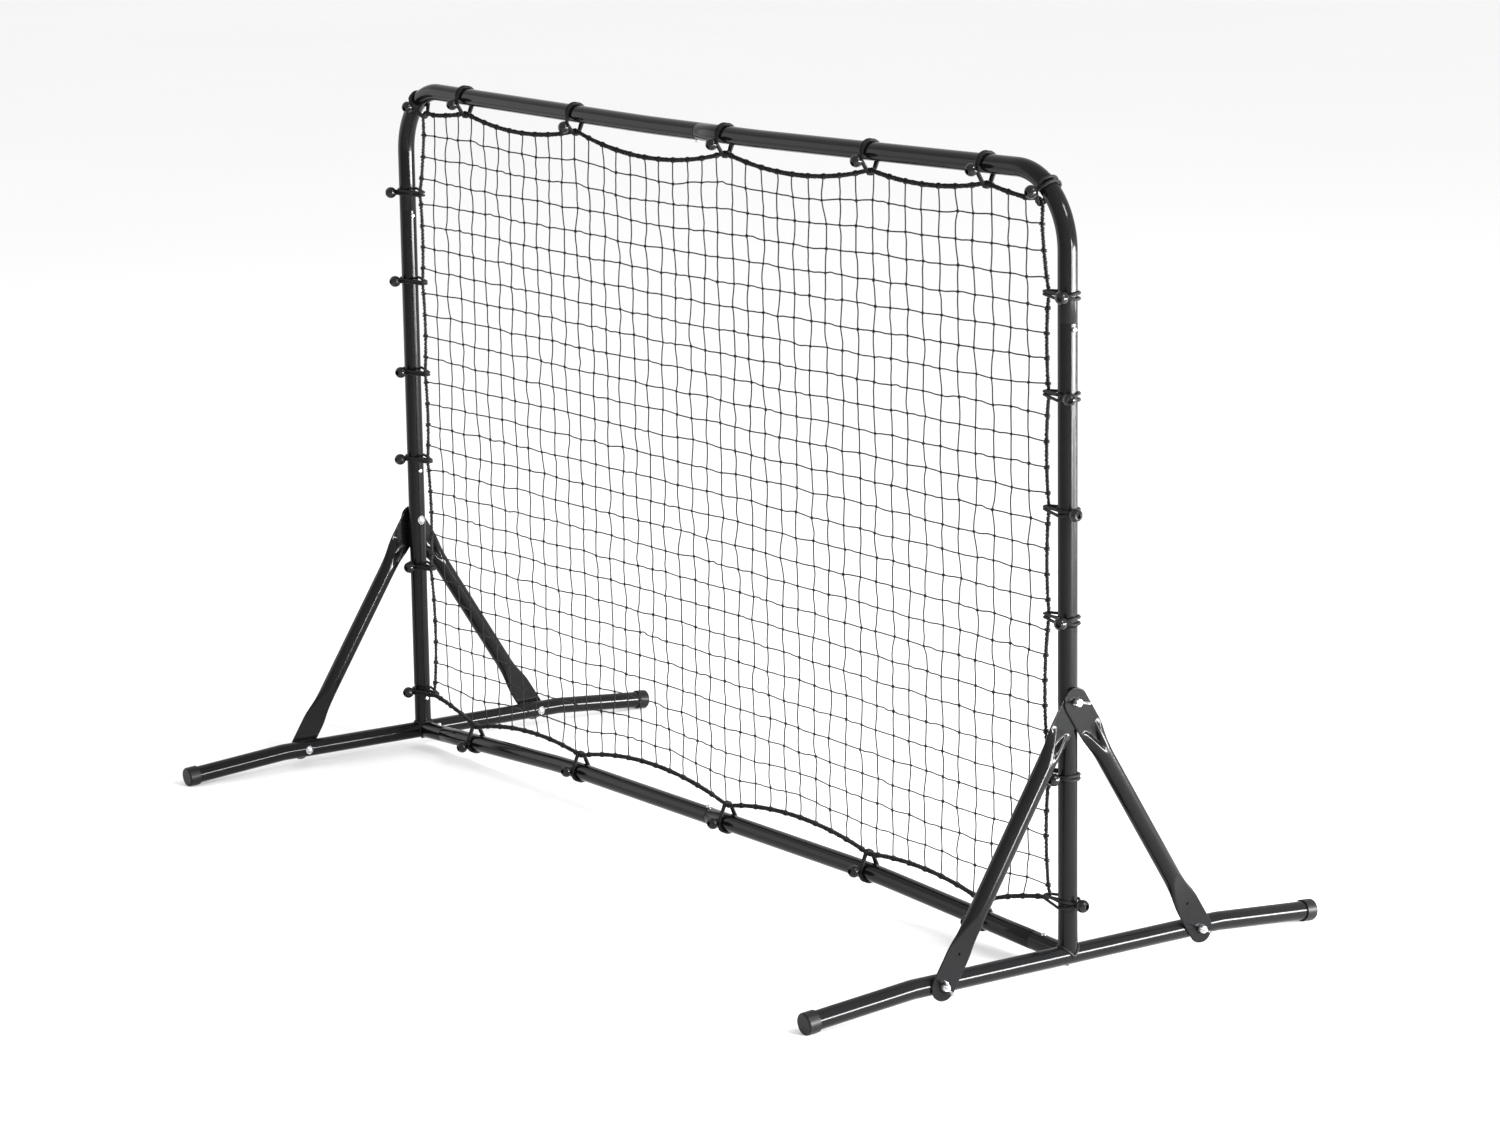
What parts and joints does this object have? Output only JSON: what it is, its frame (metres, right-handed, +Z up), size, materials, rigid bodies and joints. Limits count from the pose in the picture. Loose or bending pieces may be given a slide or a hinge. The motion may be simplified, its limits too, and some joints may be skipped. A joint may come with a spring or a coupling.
{
  "type": "pitch back rebounder",
  "caption": "Free-standing pitch back rebounder: a black steel tube frame on splayed feet holding a knotted net by ball bungees, for lawn ball games",
  "frame": {"origin": "on the floor, midway between the two feet and under the net's plane", "axes": "+X along the width of the net towards the right upright, +Y towards the rear, +Z up; the player stands on the -Y side"},
  "size_m": [1.8751, 0.9512, 1.1841],
  "materials": {
    "black_paint": "satin black powder coat",
    "cap_plastic": "fine moulded grain",
    "zinc": "bright zinc plate",
    "spring_steel": "plain spring steel",
    "net_twine": "twisted black twine, knotted",
    "border_rope": "black rope bound with fuzzy twine",
    "elastic_cord": "braided cover over elastic",
    "ball_plastic": "glossy black moulding"
  },
  "bodies": {
    "frame": {"top_corner_left": "black_paint", "top_corner_right": "black_paint", "upright_left_upper": "black_paint", "upright_right_upper": "black_paint", "upright_left_lower": "black_paint", "upright_right_lower": "black_paint", "rail_left": "black_paint", "rail_right": "black_paint", "foot_tube_left": "black_paint", "foot_tube_right": "black_paint", "foot_post_left": "black_paint", "foot_post_right": "black_paint", "rail_stub_left": "black_paint", "rail_stub_right": "black_paint", "brace_left_front": "black_paint", "brace_left_rear": "black_paint", "brace_right_front": "black_paint", "brace_right_rear": "black_paint", "end_cap_left_front": "cap_plastic", "end_cap_left_rear": "cap_plastic", "end_cap_right_front": "cap_plastic", "end_cap_right_rear": "cap_plastic", "carriage_bolts": "zinc", "button_springs": "spring_steel", "net_panel": "net_twine", "net_border_rope": "border_rope", "bungee_loops": "elastic_cord", "bungee_balls": "ball_plastic"},
    "wing_nut_left_top_body": {"wing_nut_left_top": "zinc"},
    "wing_nut_left_front_body": {"wing_nut_left_front": "zinc"},
    "wing_nut_left_rear_body": {"wing_nut_left_rear": "zinc"},
    "wing_nut_right_top_body": {"wing_nut_right_top": "zinc"},
    "wing_nut_right_front_body": {"wing_nut_right_front": "zinc"},
    "wing_nut_right_rear_body": {"wing_nut_right_rear": "zinc"},
    "snap_button_left_upper_body": {"snap_button_left_upper": "zinc"},
    "snap_button_left_middle_body": {"snap_button_left_middle": "zinc"},
    "snap_button_left_post_body": {"snap_button_left_post": "zinc"},
    "snap_button_left_stub_body": {"snap_button_left_stub": "zinc"},
    "snap_button_right_upper_body": {"snap_button_right_upper": "zinc"},
    "snap_button_right_middle_body": {"snap_button_right_middle": "zinc"},
    "snap_button_right_post_body": {"snap_button_right_post": "zinc"},
    "snap_button_right_stub_body": {"snap_button_right_stub": "zinc"},
    "snap_button_top_centre_body": {"snap_button_top_centre": "zinc"},
    "snap_button_rail_centre_body": {"snap_button_rail_centre": "zinc"}
  },
  "joints": [
    {"name": "turn_left_top", "type": "hinge", "parent": "frame", "child": "wing_nut_left_top_body", "pos_m": [-0.9205, 0, 0.40945], "axis": [-1, 0, 0], "continuous": true},
    {"name": "turn_left_front", "type": "hinge", "parent": "frame", "child": "wing_nut_left_front_body", "pos_m": [-0.9205, -0.24, 0.03045], "axis": [-1, 0, 0], "continuous": true},
    {"name": "turn_left_rear", "type": "hinge", "parent": "frame", "child": "wing_nut_left_rear_body", "pos_m": [-0.9205, 0.24, 0.03045], "axis": [-1, 0, 0], "continuous": true},
    {"name": "turn_right_top", "type": "hinge", "parent": "frame", "child": "wing_nut_right_top_body", "pos_m": [0.9205, 0, 0.40945], "axis": [1, 0, 0], "continuous": true},
    {"name": "turn_right_front", "type": "hinge", "parent": "frame", "child": "wing_nut_right_front_body", "pos_m": [0.9205, -0.24, 0.03045], "axis": [1, 0, 0], "continuous": true},
    {"name": "turn_right_rear", "type": "hinge", "parent": "frame", "child": "wing_nut_right_rear_body", "pos_m": [0.9205, 0.24, 0.03045], "axis": [1, 0, 0], "continuous": true},
    {"name": "press_left_upper", "type": "slide", "parent": "frame", "child": "snap_button_left_upper_body", "axis": [-1, 0, 0], "range_m": [0, 0.0045], "stiffness_N_per_m": 900, "deforming": ["button_springs"]},
    {"name": "press_left_middle", "type": "slide", "parent": "frame", "child": "snap_button_left_middle_body", "axis": [-1, 0, 0], "range_m": [0, 0.0045], "stiffness_N_per_m": 900, "deforming": ["button_springs"]},
    {"name": "press_left_post", "type": "slide", "parent": "frame", "child": "snap_button_left_post_body", "axis": [-1, 0, 0], "range_m": [0, 0.0045], "stiffness_N_per_m": 900, "deforming": ["button_springs"]},
    {"name": "press_left_stub", "type": "slide", "parent": "frame", "child": "snap_button_left_stub_body", "axis": [0.0468, 0, -0.9989], "range_m": [0, 0.0045], "stiffness_N_per_m": 900, "deforming": ["button_springs"]},
    {"name": "press_right_upper", "type": "slide", "parent": "frame", "child": "snap_button_right_upper_body", "axis": [-1, 0, 0], "range_m": [0, 0.0045], "stiffness_N_per_m": 900, "deforming": ["button_springs"]},
    {"name": "press_right_middle", "type": "slide", "parent": "frame", "child": "snap_button_right_middle_body", "axis": [1, 0, 0], "range_m": [0, 0.0045], "stiffness_N_per_m": 900, "deforming": ["button_springs"]},
    {"name": "press_right_post", "type": "slide", "parent": "frame", "child": "snap_button_right_post_body", "axis": [1, 0, 0], "range_m": [0, 0.0045], "stiffness_N_per_m": 900, "deforming": ["button_springs"]},
    {"name": "press_right_stub", "type": "slide", "parent": "frame", "child": "snap_button_right_stub_body", "axis": [-0.0468, 0, -0.9989], "range_m": [0, 0.0045], "stiffness_N_per_m": 900, "deforming": ["button_springs"]},
    {"name": "press_top_centre", "type": "slide", "parent": "frame", "child": "snap_button_top_centre_body", "axis": [0, 0, 1], "range_m": [0, 0.0045], "stiffness_N_per_m": 900, "deforming": ["button_springs"]},
    {"name": "press_rail_centre", "type": "slide", "parent": "frame", "child": "snap_button_rail_centre_body", "axis": [0, 0, -1], "range_m": [0, 0.0045], "stiffness_N_per_m": 900, "deforming": ["button_springs"]}
  ]
}
